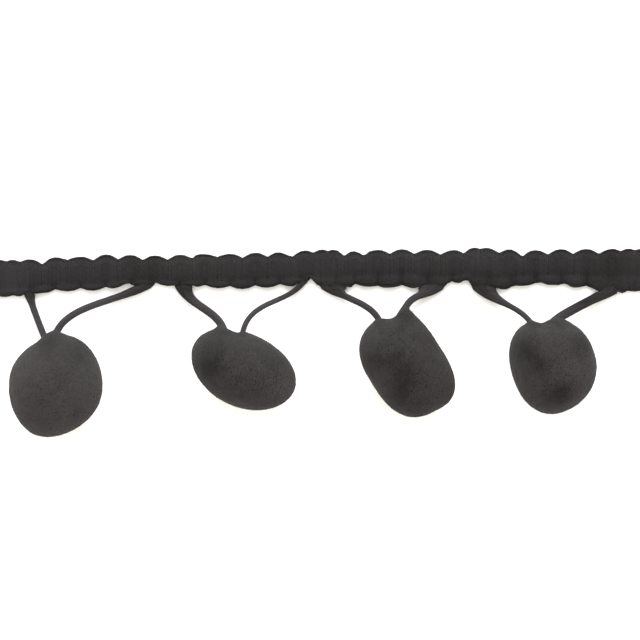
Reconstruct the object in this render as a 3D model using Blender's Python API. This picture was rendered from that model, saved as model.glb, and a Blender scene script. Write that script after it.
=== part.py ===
"""A pom pom trim: a scalloped gimp braid heading with yarn balls hung from it on pairs of yarn hangers.

The trim lies face up on a level surface at Z = 0. X runs along its length, +Y points from the balls to
the heading and +Z is up. The origin is at the middle of the trim's outline. Sizes are in metres, written
as millimetres times MM, and the tables hold millimetres and degrees.
"""

import math
import random
from collections import namedtuple

import bmesh
import bpy
from mathutils import Euler, Vector

MM = 0.001

# Heading
TRIM_LENGTH = 144.6 * MM
HEADING_THICKNESS = 2.3 * MM
UPPER_TURN_DEPTH = 0.95 * MM  # how far a weft turn stands out beyond the notch beside it
LOWER_TURN_DEPTH = 0.6 * MM
FULL_PUFF = 2.7  # half the width, in millimetres, of a puff that stands out by the whole turn depth
PUFF_RELIEF = 0.3  # share of the thickness that the braid loses between two puffs
GROOVE_LEVEL = 0.7  # height of the braid in the groove, as a share of the thickness
LOWER_CROWN = 0.9  # height of the lower row, as a share of the upper one
STATIONS_PER_PUFF = 6
CUT_MARGIN = 0.2 * MM  # no section stands closer than this to a cut end
MIDDLE_Y = -4.61 * MM  # the middle of the outline, in the tables' own Y

# The lines along the crests of the heading's two edges, and how far up the width the groove is. The heading
# bows gently, widens a little to the right, and reaches lower where a hanger leaves it.
HeadingStation = namedtuple("HeadingStation", "x lower_y upper_y groove_share")
HEADING_LINE = (
    HeadingStation(-74.0, 4.45, 12.7, 0.26),
    HeadingStation(-66.0, 5.0, 13.05, 0.23),
    HeadingStation(-55.0, 6.15, 13.55, 0.21),
    HeadingStation(-50.0, 6.2, 13.85, 0.2),
    HeadingStation(-45.0, 6.45, 14.15, 0.19),
    HeadingStation(-41.0, 7.3, 14.0, 0.19),
    HeadingStation(-36.0, 7.4, 13.9, 0.2),
    HeadingStation(-30.0, 7.0, 14.15, 0.19),
    HeadingStation(-18.0, 6.6, 14.4, 0.25),
    HeadingStation(-4.0, 7.2, 14.95, 0.25),
    HeadingStation(1.5, 7.25, 15.15, 0.25),
    HeadingStation(8.0, 7.25, 14.85, 0.31),
    HeadingStation(18.0, 6.85, 15.35, 0.37),
    HeadingStation(22.0, 6.6, 15.25, 0.35),
    HeadingStation(26.0, 7.0, 15.15, 0.31),
    HeadingStation(28.0, 7.35, 15.1, 0.29),
    HeadingStation(29.6, 7.65, 15.1, 0.27),
    HeadingStation(31.3, 8.1, 15.4, 0.26),
    HeadingStation(34.0, 6.9, 15.85, 0.26),
    HeadingStation(39.0, 6.4, 15.4, 0.29),
    HeadingStation(42.5, 7.2, 15.2, 0.29),
    HeadingStation(47.0, 7.25, 15.1, 0.29),
    HeadingStation(51.0, 7.4, 15.2, 0.31),
    HeadingStation(55.0, 6.8, 15.3, 0.33),
    HeadingStation(62.0, 6.3, 15.35, 0.36),
    HeadingStation(66.0, 6.0, 15.4, 0.38),
    HeadingStation(74.0, 6.1, 15.3, 0.4),
)

# Each stretch of braid between two hanger gaps has these puffs along its upper edge, spaced wider towards
# its end by this growth. small_puffs stand in the gap after the stretch, closer together.
Stretch = namedtuple("Stretch", "first_puff last_puff puffs growth small_puffs")
STRETCHES = (
    Stretch(-73.6, -71.4, 2, 0.0, (-68.9, -66.2)),
    Stretch(-62.6, -35.5, 6, -0.04, ()),
    Stretch(-30.1, -3.2, 6, 0.0, (0.4,)),
    Stretch(2.9, 28.8, 6, 0.14, (32.8,)),
    Stretch(36.0, 62.8, 6, 0.06, (66.4,)),
    Stretch(68.8, 73.6, 3, 0.0, ()),
)

# Single notches of the two edges that are drawn in deeper than the rest or, where depth is below 0, less
# deep. The deepest one is where two loops part.
Notch = namedtuple("Notch", "x depth half_width")
UPPER_NOTCHES = (
    Notch(-59.3, 0.3, 1.2),
    Notch(-54.0, -0.4, 1.2),
    Notch(-26.6, -0.4, 1.0),
    Notch(-21.9, -0.3, 1.0),
    Notch(-7.2, 0.45, 1.4),
    Notch(5.2, 0.35, 0.9),
    Notch(9.0, 0.45, 0.9),
    Notch(10.4, -0.35, 0.8),
    Notch(31.0, 0.3, 0.8),
    Notch(43.0, 0.55, 1.2),
)
LOWER_NOTCHES = (
    Notch(-58.0, -0.25, 1.0),
    Notch(-42.4, 0.35, 1.0),
    Notch(-2.3, 2.4, 1.0),
    Notch(6.4, -0.6, 0.8),
    Notch(12.9, -0.35, 1.6),
    Notch(27.8, 0.55, 0.8),
    Notch(31.4, 0.6, 0.7),
    Notch(40.7, -0.5, 1.2),
    Notch(47.8, 0.5, 1.0),
    Notch(51.4, -0.45, 0.9),
    Notch(52.9, 0.35, 0.7),
    Notch(64.7, -0.4, 1.0),
)

# One row of the section, from the outer edge (across = 0) to the groove (across = 1), with the height as
# a share of that row's crown. upper_relief is how much of PUFF_RELIEF is left there in the upper row, which
# evens out towards the groove. The short lower row has all of it throughout.
SectionPoint = namedtuple("SectionPoint", "across height upper_relief")
ROW_SECTION = (
    SectionPoint(0.07, 0.0, 1.0),
    SectionPoint(0.0, 0.4, 1.0),
    SectionPoint(0.09, 0.78, 1.0),
    SectionPoint(0.3, 0.97, 0.75),
    SectionPoint(0.58, 1.0, 0.4),
    SectionPoint(0.84, 0.93, 0.15),
)

# Balls. turn is the direction of a ball's own X axis. Seen from above its outline is an ellipse where
# squareness is 2 and squarer where it is more, and taper widens it towards its own +X end. Where the hangers
# go in, the pile parts in a dimple, whose depth is a share of the ball.
Ball = namedtuple("Ball", "name x y half_x half_y half_z turn squareness taper dimple dimple_azimuth seed")
BALLS = (
    Ball("pom_1", -56.1, -14.05, 11.15, 9.95, 9.3, 66.5, 1.8, 0.024, 0.02, 101.0, 11),
    Ball("pom_2", -16.35, -10.6, 7.75, 11.65, 10.0, 64.7, 2.0, 0.063, 0.08, 98.0, 12),
    Ball("pom_3", 18.2, -9.55, 8.15, 11.55, 9.8, 32.6, 2.7, 0.072, 0.14, 106.0, 13),
    Ball("pom_4", 49.45, -9.4, 8.95, 10.1, 9.9, 18.0, 2.2, -0.113, 0.1, 107.0, 14),
)
FLAT_DEPTH = 0.5 * MM  # how far a ball's lowest locks are shortened by the surface it lies on
DIMPLE_HALF_ANGLE = 13.0  # degrees, along the ball's outline seen from above
DIMPLE_TALLNESS = 2.0  # how much taller than wide a dimple is
REACH_STEPS = 6  # repeats that settle the distance to a ball's outside
CORE_SHARE = 0.66  # size of the core that the locks are rooted in, as a share of the ball
SHOULDER_SHARE = 0.94  # where a lock begins to round off
LOCK_LENGTH = 1.01  # a little past the ball's rounded outline, which the flat tips cut short
LOCK_UNEVENNESS = 0.015  # of the ball, how far lock lengths vary
LOCK_LEAN = 0.008  # of the ball, how far tips stand off their cells' middles
ROOT_INSET = 0.07  # on a core of radius 1, half the space between two roots
SHOULDER_SPREAD = 0.91  # of a cell, how much of it a lock fills at its shoulder
TIP_SPREAD = 0.66
DOME_RISE = 0.012  # on a ball of radius 1, how far a lock's middle stands above its tip's rim

# Hangers. The route goes from the root at the heading's lower edge past two pull points to the ball, which
# it meets at this azimuth seen from the ball's middle. Over a share of the route called flare, the wide root
# narrows to the waist.
Hanger = namedtuple(
    "Hanger",
    "name ball root_x root_y pull_a_x pull_a_y pull_b_x pull_b_y azimuth root_width waist ball_width flare",
)
HANGERS = (
    Hanger("hanger_1_left", 0, -62.4, 5.2, -61.7, 2.7, -60.4, -0.3, 104.2, 2.4, 1.4, 1.3, 0.35),
    Hanger("hanger_1_right", 0, -38.3, 7.0, -46.0, 3.3, -55.8, 2.8, 94.8, 4.2, 1.5, 1.6, 0.23),
    Hanger("hanger_2_left", 1, -29.3, 7.0, -28.2, 3.0, -21.7, 2.1, 117.0, 3.9, 1.75, 1.65, 0.45),
    Hanger("hanger_2_right", 1, -4.1, 7.6, -7.6, 3.4, -15.2, 4.1, 91.0, 1.8, 1.15, 1.15, 0.45),
    Hanger("hanger_3_left", 2, 3.0, 6.8, 5.7, 4.0, 11.2, 3.9, 121.0, 5.8, 1.4, 1.4, 0.27),
    Hanger("hanger_3_right", 2, 23.75, 6.7, 22.1, 5.0, 18.1, 5.2, 91.5, 5.7, 1.5, 3.6, 0.45),
    Hanger("hanger_4_left", 3, 35.4, 6.6, 37.3, 3.8, 43.0, 3.0, 116.5, 5.2, 1.2, 1.2, 0.6),
    Hanger("hanger_4_right", 3, 61.8, 5.85, 57.3, 4.1, 53.6, 1.9, 89.0, 4.4, 2.0, 1.3, 0.3),
)
HANGER_SECTIONS = 11  # along the route
HANGER_SIDES = 8
HANGER_THICKNESS = 1.3 * MM  # from floor side to camera side
HANGER_ROOT_LEVEL = 1.0 * MM
PULL_RISES = (0.2, 0.6)  # how much of the way from the root's level to the ball's each pull point has made
ROUTE_STEP = 0.01  # share of the route over which its direction is taken
HANGER_MEETS_BELOW = 26.0  # degrees below the ball's middle at which a hanger meets it
CLOSE_REACH = 0.25  # share of the route over which it comes to its width at the ball
PAD_SLOPE = 0.8 * MM  # beside a root, how far along X the heading's edge comes back to its own line
JOINT_GAP = 0.35 * MM  # left between the heading and a hanger's root, where the real ones touch
BALL_GAP = 0.45 * MM  # left between a hanger's end and its ball

Finish = namedtuple("Finish", "name colour roughness metallic")
BRAID_FINISH = Finish("charcoal_braid", (0.036, 0.034, 0.034), 0.85, 0.0)
HANGER_FINISH = Finish("charcoal_yarn", (0.045, 0.043, 0.043), 0.85, 0.0)
PILE_FINISH = Finish("charcoal_pile", (0.056, 0.053, 0.053), 0.95, 0.0)
SHARP_ANGLE = 40.0  # degrees between two faces from which their edge is shaded sharp
EASE = 0.5  # between two table rows, how much of the change is eased and how much is straight


def clear_scene():
    """Removes every object that the file starts with."""
    for thing in list(bpy.data.objects):
        bpy.data.objects.remove(thing, do_unlink=True)


def make_material(finish):
    """A Principled BSDF material with the finish's colour, roughness and metallic value."""
    material = bpy.data.materials.new(finish.name)
    material.use_nodes = True
    shader = material.node_tree.nodes["Principled BSDF"]
    shader.inputs["Base Color"].default_value = (*finish.colour, 1.0)
    shader.inputs["Roughness"].default_value = finish.roughness
    shader.inputs["Metallic"].default_value = finish.metallic
    return material


def add_piece(name, shape, material, parent, place=(0.0, 0.0, 0.0), turn=0.0):
    """Puts a bmesh into the scene as one named piece under the trim's empty."""
    bmesh.ops.recalc_face_normals(shape, faces=shape.faces)
    mesh = bpy.data.meshes.new(name)
    shape.to_mesh(mesh)
    shape.free()
    mesh.shade_smooth()
    mesh.set_sharp_from_angle(angle=math.radians(SHARP_ANGLE))
    mesh.materials.append(material)
    piece = bpy.data.objects.new(name, mesh)
    piece.location = place
    piece.rotation_euler = (0.0, 0.0, turn)
    piece.parent = parent
    bpy.context.collection.objects.link(piece)
    return piece


def loft(rings):
    """A closed solid through rings of points, each with the same number of points, with flat ends."""
    shape = bmesh.new()
    loops = [[shape.verts.new(point) for point in ring] for ring in rings]
    for before, after in zip(loops, loops[1:]):
        for i, corner in enumerate(before):
            following = (i + 1) % len(before)
            shape.faces.new((corner, before[following], after[following], after[i]))
    shape.faces.new(loops[0])
    shape.faces.new(loops[-1])
    return shape


def smooth_between(rows, x, column):
    """The value of a column at x, between the rows on either side, with no kink at a row."""
    for low, high in zip(rows, rows[1:]):
        if x <= high.x:
            break
    share = min(max((x - low.x) / (high.x - low.x), 0.0), 1.0)
    ease = share * share * (3.0 - 2.0 * share)
    start, end = getattr(low, column), getattr(high, column)
    return start + (end - start) * (EASE * ease + (1.0 - EASE) * share)


def upper_puffs():
    """The X of every puff along the upper edge, in millimetres."""
    places = []
    for stretch in STRETCHES:
        reach = stretch.last_puff - stretch.first_puff
        for i in range(stretch.puffs):
            share = i / (stretch.puffs - 1)
            share *= 1.0 - stretch.growth * (1.0 - share)
            places.append(stretch.first_puff + reach * share)
        places.extend(stretch.small_puffs)
    return places


def between(places):
    """The middles of neighbouring places."""
    return [(a + b) / 2.0 for a, b in zip(places, places[1:])]


def puff_height(x, puffs):
    """1 on the crest of a puff, less in the notches beside it and 0 in those of a full puff."""
    notches = between(puffs)
    for i, notch in enumerate(notches):
        if x < notch:
            break
    else:
        i = len(notches)
    low = notches[i - 1] if i > 0 else 2.0 * puffs[0] - notches[0]
    high = notches[i] if i < len(notches) else 2.0 * puffs[-1] - notches[-1]
    side = low if x < puffs[i] else high
    half = abs(side - puffs[i])
    away = min(abs(x - puffs[i]) / half, 1.0) * min(half / FULL_PUFF, 1.0)
    return 1.0 - away * away


def notched(x, notches):
    """How far single notches draw an edge in at x, in millimetres."""
    return sum(n.depth * math.exp(-(((x - n.x) / n.half_width) ** 2)) for n in notches)


def beside_roots(x, bottom):
    """The lower edge at x, flush with the wide root of each hanger that starts there, in millimetres."""
    for hanger in HANGERS:
        outside = abs(x - hanger.root_x) - hanger.root_width / 2.0
        share = min(max(1.0 - outside * MM / PAD_SLOPE, 0.0), 1.0)
        bottom += (hanger.root_y + JOINT_GAP / MM - bottom) * share
    return bottom


def heading_section(x, upper, lower):
    """The ring of points of the heading at x, in millimetres, from the lower edge to the upper and back."""
    upper_lift = puff_height(x, upper)
    lower_lift = puff_height(x, lower)
    top = smooth_between(HEADING_LINE, x, "upper_y")
    bottom = smooth_between(HEADING_LINE, x, "lower_y")
    groove = bottom + (top - bottom) * smooth_between(HEADING_LINE, x, "groove_share")
    top -= UPPER_TURN_DEPTH / MM * (1.0 - upper_lift)
    bottom += LOWER_TURN_DEPTH / MM * (1.0 - lower_lift)
    top -= notched(x, UPPER_NOTCHES)
    bottom += notched(x, LOWER_NOTCHES)
    bottom = beside_roots(x, bottom)
    tall = HEADING_THICKNESS / MM
    lower_sink = PUFF_RELIEF * (1.0 - lower_lift)
    upper_sink = PUFF_RELIEF * (1.0 - upper_lift)
    ring = []
    for point in ROW_SECTION:
        height = point.height * tall * LOWER_CROWN * (1.0 - lower_sink)
        ring.append((bottom + point.across * (groove - bottom), height))
    ring.append((groove, GROOVE_LEVEL * tall))
    for point in reversed(ROW_SECTION):
        height = point.height * tall * (1.0 - upper_sink * point.upper_relief)
        ring.append((top + point.across * (groove - top), height))
    return [Vector((x, y, z)) * MM for y, z in ring]


def heading_stations(upper):
    """Where the heading's sections stand along X: on each crest and notch and between them."""
    half = TRIM_LENGTH / MM / 2.0
    inner = half - CUT_MARGIN / MM
    notches = between(upper)
    steps = [2.0 * i / STATIONS_PER_PUFF for i in range(STATIONS_PER_PUFF)]
    places = []
    for low, crest, high in zip(notches, upper[1:-1], notches[1:]):
        for step in steps:
            near, far = (low, crest) if step < 1.0 else (crest, high)
            share = step if step < 1.0 else step - 1.0
            places.append(near + (far - near) * share)
    inside = [x for x in places if abs(x) < inner]
    return [-half, *inside, half]


def make_heading(material, parent):
    """The braid heading, with plain cut ends."""
    upper = upper_puffs()
    lower = between(upper)
    rings = [heading_section(x, upper, lower) for x in heading_stations(upper)]
    return add_piece("heading", loft(rings), material, parent)


def ball_middle(ball):
    """The middle of a ball, at the height at which its lowest locks are shortened by FLAT_DEPTH."""
    return Vector((ball.x * MM, ball.y * MM, ball.half_z * MM - FLAT_DEPTH))


def ball_reach(ball, way):
    """How far a ball's outside is from its middle, along a unit vector in the ball's own axes."""
    reach = ball.half_y
    for _ in range(REACH_STEPS):
        x = way.x * reach / ball.half_x
        swell = 1.0 + ball.taper * x
        y = way.y * reach / (ball.half_y * swell)
        z = way.z * reach / ball.half_z
        flat = (abs(x) ** ball.squareness + abs(y) ** ball.squareness) ** (2.0 / ball.squareness)
        reach /= math.sqrt(flat + z * z)
    azimuth = math.radians(ball.dimple_azimuth - ball.turn)
    seen = Vector((way.x, way.y, way.z / DIMPLE_TALLNESS))
    away = math.degrees(seen.angle(Vector((math.cos(azimuth), math.sin(azimuth), 0.0))))
    return reach * (1.0 - ball.dimple * math.exp(-((away / DIMPLE_HALF_ANGLE) ** 2))) * MM


def split_into_kites(shape):
    """Splits each triangle of a sphere into three four-sided cells that meet at its middle."""
    halves = {}
    for edge in list(shape.edges):
        halves[edge] = shape.verts.new((edge.verts[0].co + edge.verts[1].co).normalized())
    triangles = list(shape.faces)
    for face in triangles:
        centre = shape.verts.new(face.calc_center_median().normalized())
        for loop in face.loops:
            before = halves[loop.link_loop_prev.edge]
            shape.faces.new((loop.vert, halves[loop.edge], centre, before))
    bmesh.ops.delete(shape, geom=triangles, context="FACES_ONLY")
    loose = [edge for edge in shape.edges if not edge.link_faces]
    bmesh.ops.delete(shape, geom=loose, context="EDGES")


def grow_lock(shape, face, cell, spread, reach, lean):
    """Extrudes a lock's end face out to this reach, where it fills this share of its cell."""
    tip = bmesh.ops.extrude_discrete_faces(shape, faces=[face])["faces"][0]
    middle = sum(cell, Vector()).normalized()
    for vert, corner in zip(tip.verts, cell):
        vert.co = (middle + (corner - middle) * spread + lean).normalized() * reach
    return tip


def make_pom(ball, material, parent):
    """A yarn ball: a core whose 60 four-sided locks stand apart from their roots out to rounded tips."""
    chance = random.Random(ball.seed)
    shape = bmesh.new()
    bmesh.ops.create_icosphere(shape, subdivisions=1, radius=1.0)
    tumble = Euler([chance.uniform(-math.pi, math.pi) for _ in range(3)]).to_matrix()
    bmesh.ops.transform(shape, matrix=tumble.to_4x4(), verts=shape.verts)
    split_into_kites(shape)
    bmesh.ops.recalc_face_normals(shape, faces=shape.faces)
    roots = list(shape.faces)
    cells = [[vert.co.copy() for vert in face.verts] for face in roots]
    bmesh.ops.inset_individual(shape, faces=roots, thickness=ROOT_INSET, use_even_offset=True)
    for vert in shape.verts:
        vert.co = vert.co.normalized() * CORE_SHARE

    for root, cell in zip(roots, cells):
        length = LOCK_LENGTH + chance.uniform(-1.0, 1.0) * LOCK_UNEVENNESS
        lean = Vector([chance.uniform(-1.0, 1.0) for _ in range(3)]) * LOCK_LEAN
        shoulder = grow_lock(shape, root, cell, SHOULDER_SPREAD, length * SHOULDER_SHARE, Vector())
        tip = grow_lock(shape, shoulder, cell, TIP_SPREAD, length * (1.0 - DOME_RISE), lean)
        crown = bmesh.ops.poke(shape, faces=[tip])["verts"][0]
        crown.co = (sum(cell, Vector()).normalized() + lean).normalized() * length

    middle_height = ball_middle(ball).z
    for vert in shape.verts:
        way = vert.co.normalized()
        vert.co = way * ball_reach(ball, way) * vert.co.length
        if vert.co.z < -middle_height:
            vert.co *= -middle_height / vert.co.z
    return add_piece(ball.name, shape, material, parent, ball_middle(ball), math.radians(ball.turn))


def hanger_end(hanger):
    """Where a hanger ends, just outside its ball's longest locks."""
    ball = BALLS[hanger.ball]
    below = -math.radians(HANGER_MEETS_BELOW)
    azimuth = math.radians(hanger.azimuth)
    way = Vector((math.cos(azimuth) * math.cos(below), math.sin(azimuth) * math.cos(below), math.sin(below)))
    in_ball = way.copy()
    in_ball.rotate(Euler((0.0, 0.0, -math.radians(ball.turn))))
    longest_lock = LOCK_LENGTH + LOCK_UNEVENNESS
    return ball_middle(ball) + way * (ball_reach(ball, in_ball) * longest_lock + BALL_GAP)


def hanger_width(hanger, share):
    """The width of a hanger at this share of its route, from its wide root past its waist to the ball."""
    root = max(1.0 - share / hanger.flare, 0.0) ** 2
    close = max((share - 1.0 + CLOSE_REACH) / CLOSE_REACH, 0.0) ** 2
    wide = hanger.waist
    wide += (hanger.root_width - hanger.waist) * root
    wide += (hanger.ball_width - hanger.waist) * close
    return wide * MM


def hanger_route(hanger, share):
    """A point of the route: a cubic curve from the root past two pull points to the ball."""
    root = Vector((hanger.root_x * MM, hanger.root_y * MM, HANGER_ROOT_LEVEL))
    end = hanger_end(hanger)
    levels = [root.z + (end.z - root.z) * rise for rise in PULL_RISES]
    pull_a = Vector((hanger.pull_a_x * MM, hanger.pull_a_y * MM, levels[0]))
    pull_b = Vector((hanger.pull_b_x * MM, hanger.pull_b_y * MM, levels[1]))
    rest = 1.0 - share
    point = root * rest**3 + pull_a * 3.0 * rest**2 * share
    return point + pull_b * 3.0 * rest * share**2 + end * share**3


def make_hanger(hanger, material, parent):
    """One leg of a loop: a flattened yarn whose wide root lies along the heading's lower edge."""
    root = hanger_route(hanger, 0.0)
    rings = []
    for i in range(HANGER_SECTIONS):
        share = i / (HANGER_SECTIONS - 1)
        here = hanger_route(hanger, share)
        ahead = hanger_route(hanger, share + ROUTE_STEP) - hanger_route(hanger, share - ROUTE_STEP)
        across = Vector((-ahead.y, ahead.x, 0.0)).normalized()
        along_edge = Vector((1.0, 0.0, 0.0)) * (1.0 if across.x > 0.0 else -1.0)
        turned = max(1.0 - share / hanger.flare, 0.0)
        across = (across * (1.0 - turned) + along_edge * turned).normalized()
        over = ahead.cross(across).normalized()
        half_wide = hanger_width(hanger, share) / 2.0
        half_thick = min(HANGER_THICKNESS / 2.0, half_wide)
        ring = []
        for k in range(HANGER_SIDES):
            angle = 2.0 * math.pi * (k + 0.5) / HANGER_SIDES
            offset = across * half_wide * math.cos(angle) + over * half_thick * math.sin(angle)
            ring.append(here + offset - root)
        rings.append(ring)
    return add_piece(hanger.name, loft(rings), material, parent, root)


def main():
    """Builds the whole trim under one empty, with the origin at the middle of its outline."""
    clear_scene()
    trim = bpy.data.objects.new("trim", None)
    trim.location = (0.0, -MIDDLE_Y, 0.0)
    bpy.context.collection.objects.link(trim)
    make_heading(make_material(BRAID_FINISH), trim)
    yarn = make_material(HANGER_FINISH)
    pile = make_material(PILE_FINISH)
    for ball in BALLS:
        make_pom(ball, pile, trim)
    for hanger in HANGERS:
        make_hanger(hanger, yarn, trim)


main()
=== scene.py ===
"""The looks of a pom pom trim: a braid heading of looped yarn with cut-pile balls hung from it.

The trim lies face up on a pale floor. The tables repeat the construction's own sizes in millimetres and
degrees, with the same X and with Y counted from the camera's axis. placed() turns them into metres in the
row's frame.
"""

import math
from collections import namedtuple

import bmesh
import bpy
import numpy as np
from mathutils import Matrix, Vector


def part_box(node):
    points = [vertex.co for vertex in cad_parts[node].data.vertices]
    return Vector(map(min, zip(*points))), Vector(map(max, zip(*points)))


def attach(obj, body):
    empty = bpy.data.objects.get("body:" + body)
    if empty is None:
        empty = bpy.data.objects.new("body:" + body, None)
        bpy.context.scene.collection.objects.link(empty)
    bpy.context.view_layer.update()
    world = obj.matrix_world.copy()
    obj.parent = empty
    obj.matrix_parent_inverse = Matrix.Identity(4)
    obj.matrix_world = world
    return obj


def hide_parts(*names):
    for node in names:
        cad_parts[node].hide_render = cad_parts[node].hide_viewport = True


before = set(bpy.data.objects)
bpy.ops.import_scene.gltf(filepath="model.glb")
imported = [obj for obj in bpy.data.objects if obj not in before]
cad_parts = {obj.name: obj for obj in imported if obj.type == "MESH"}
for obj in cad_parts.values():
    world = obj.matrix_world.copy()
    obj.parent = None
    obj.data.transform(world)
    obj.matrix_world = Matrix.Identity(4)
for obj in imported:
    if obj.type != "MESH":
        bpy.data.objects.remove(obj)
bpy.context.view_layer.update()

bl_info = {
    "name": "Pom pom trim",
    "version": (1, 0, 0),
    "blender": (4, 5, 0),
    "location": "View3D > Sidebar > Trim",
    "description": "Dresses a length of pom pom trim: braid, hangers, yarn balls, floor and light",
    "category": "Object",
}

HEADING_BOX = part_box("heading")

MM = 0.001
MIDDLE_Y = -4.61  # the middle of the trim's outline, in the tables' Y
UP = (0.0, 0.0, 1.0)
TINY = 1e-6  # keeps a slope from being 0 in a division
SHORTEST = 1e-12  # keeps a length from being 0 in a division
PUFF_SEED, BRAID_SEED, HANGER_SEED = 7, 3, 5  # of the random draws; each ball has its own
WAVE_PARTS = (1.0, 1.7, 2.9)  # how often each sine of a slow wave comes in its length

# Heading, in millimetres
HALF_LENGTH = HEADING_BOX[1][0] / MM
UPPER_TURN_DEPTH = 0.95  # how far a turn of the weft stands out beyond the notch beside it
LOWER_TURN_DEPTH = 0.6
FULL_PUFF = 2.7  # half the width of a puff that stands out by the whole turn depth
PUFF_RELIEF = 0.3  # share of its height that the braid loses between two puffs
GROOVE_LEVEL = 0.7  # height of the braid in the groove, as a share of its thickness
LOWER_CROWN = 0.9  # height of the lower row, as a share of the upper one
EASE = 0.5  # between two table rows, how much of the change is eased and how much is straight

# The lines along the crests of the two edges, and how far up between them the groove is.
HeadingStation = namedtuple("HeadingStation", "x lower_y upper_y groove_share")
HEADING_LINE = (
    HeadingStation(-74.0, 4.45, 12.7, 0.26),
    HeadingStation(-66.0, 5.0, 13.05, 0.23),
    HeadingStation(-55.0, 6.15, 13.55, 0.21),
    HeadingStation(-50.0, 6.2, 13.85, 0.2),
    HeadingStation(-45.0, 6.45, 14.15, 0.19),
    HeadingStation(-41.0, 7.3, 14.0, 0.19),
    HeadingStation(-36.0, 7.4, 13.9, 0.2),
    HeadingStation(-30.0, 7.0, 14.15, 0.19),
    HeadingStation(-18.0, 6.6, 14.4, 0.25),
    HeadingStation(-4.0, 7.2, 14.95, 0.25),
    HeadingStation(1.5, 7.25, 15.15, 0.25),
    HeadingStation(8.0, 7.25, 14.85, 0.31),
    HeadingStation(18.0, 6.85, 15.35, 0.37),
    HeadingStation(22.0, 6.6, 15.25, 0.35),
    HeadingStation(26.0, 7.0, 15.15, 0.31),
    HeadingStation(28.0, 7.35, 15.1, 0.29),
    HeadingStation(29.6, 7.65, 15.1, 0.27),
    HeadingStation(31.3, 8.1, 15.4, 0.26),
    HeadingStation(34.0, 6.9, 15.85, 0.26),
    HeadingStation(39.0, 6.4, 15.4, 0.29),
    HeadingStation(42.5, 7.2, 15.2, 0.29),
    HeadingStation(47.0, 7.25, 15.1, 0.29),
    HeadingStation(51.0, 7.4, 15.2, 0.31),
    HeadingStation(55.0, 6.8, 15.3, 0.33),
    HeadingStation(62.0, 6.3, 15.35, 0.36),
    HeadingStation(66.0, 6.0, 15.4, 0.38),
    HeadingStation(74.0, 6.1, 15.3, 0.4),
)

# The turns of the weft along the upper edge, stretch by stretch, with the small ones in the gap after it.
Stretch = namedtuple("Stretch", "first_puff last_puff puffs growth small_puffs")
STRETCHES = (
    Stretch(-73.6, -71.4, 2, 0.0, (-68.9, -66.2)),
    Stretch(-62.6, -35.5, 6, -0.04, ()),
    Stretch(-30.1, -3.2, 6, 0.0, (0.4,)),
    Stretch(2.9, 28.8, 6, 0.14, (32.8,)),
    Stretch(36.0, 62.8, 6, 0.06, (66.4,)),
    Stretch(68.8, 73.6, 3, 0.0, ()),
)

# Single notches that are drawn in deeper than the rest or, where depth is below 0, less deep.
Notch = namedtuple("Notch", "x depth half_width")
UPPER_NOTCHES = (
    Notch(-59.3, 0.3, 1.2),
    Notch(-54.0, -0.4, 1.2),
    Notch(-26.6, -0.4, 1.0),
    Notch(-21.9, -0.3, 1.0),
    Notch(-7.2, 0.45, 1.4),
    Notch(5.2, 0.35, 0.9),
    Notch(9.0, 0.45, 0.9),
    Notch(10.4, -0.35, 0.8),
    Notch(31.0, 0.3, 0.8),
    Notch(43.0, 0.55, 1.2),
)
LOWER_NOTCHES = (
    Notch(-58.0, -0.25, 1.0),
    Notch(-42.4, 0.35, 1.0),
    Notch(-2.3, 2.4, 1.0),
    Notch(6.4, -0.6, 0.8),
    Notch(12.9, -0.35, 1.6),
    Notch(27.8, 0.55, 0.8),
    Notch(31.4, 0.6, 0.7),
    Notch(40.7, -0.5, 1.2),
    Notch(47.8, 0.5, 1.0),
    Notch(51.4, -0.45, 0.9),
    Notch(52.9, 0.35, 0.7),
    Notch(64.7, -0.4, 1.0),
)

# One row of the section, from its outer edge (across = 0) to the side of the groove. From there the
# surface sinks to the groove itself (across = 1). UPPER_RELIEF is how much of the relief between puffs is
# left there in the upper row, which evens out towards the groove.
ROW_ACROSS = (0.0, 0.09, 0.3, 0.58, 0.84)
ROW_HEIGHT = (0.45, 0.78, 0.97, 1.0, 0.93)
UPPER_RELIEF = (1.0, 1.0, 0.75, 0.4, 0.15)
EDGE_UNEVENNESS = 0.1  # how far single puffs stand out more or less, in millimetres
CROWN_UNEVENNESS = 0.035  # how much taller or flatter single puffs are, as a share of the height

# The plies of the weft. place says how far out a ply lies in an upper turn, from 0 at the middle to 1, and
# 1 - place is the same in a lower turn. The levels run from 0 on the back to 1 on the face. Plies lie side by
# side on the face and on the back, and others are stacked at the outside of each row's turns.
Ply = namedtuple("Ply", "place upper_level lower_level")
FLAT_PLIES, STACKED_PLIES = 8, 4
FIRST_PLACE, PLACE_STEP = 0.09, 0.117  # of the plies that lie side by side
OUTER_PLACE, INNER_PLACE = 0.95, 0.05  # of the stacked ones, in the row where they turn and in the other
STACK_LEAN = 0.03  # the middle two of a stack lie this much farther out
OUTER_LEVEL, OUTER_DROP = 0.84, 0.22  # where a stack turns, its highest level and the steps down from it
INNER_DROP = 0.3  # the steps down from the face where it passes on into the other row
FACE_PLIES = (
    *(Ply(FIRST_PLACE + PLACE_STEP * i, 1.0, 1.0) for i in range(FLAT_PLIES)),
    *(
        Ply(OUTER_PLACE + STACK_LEAN * (i % 3 > 0), OUTER_LEVEL - OUTER_DROP * i, 1.0 - INNER_DROP * i)
        for i in range(STACKED_PLIES)
    ),
    *(
        Ply(INNER_PLACE - STACK_LEAN * (i % 3 > 0), 1.0 - INNER_DROP * i, OUTER_LEVEL - OUTER_DROP * i)
        for i in range(STACKED_PLIES)
    ),
)
BACK_PLIES = tuple(Ply(FIRST_PLACE + PLACE_STEP * i, 0.0, 0.0) for i in range(FLAT_PLIES))
UPPER_ARC = 0.42  # share of a puff's depth that the arc of its turn takes; the rest are straight passes
LOWER_ARC = 0.8
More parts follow.
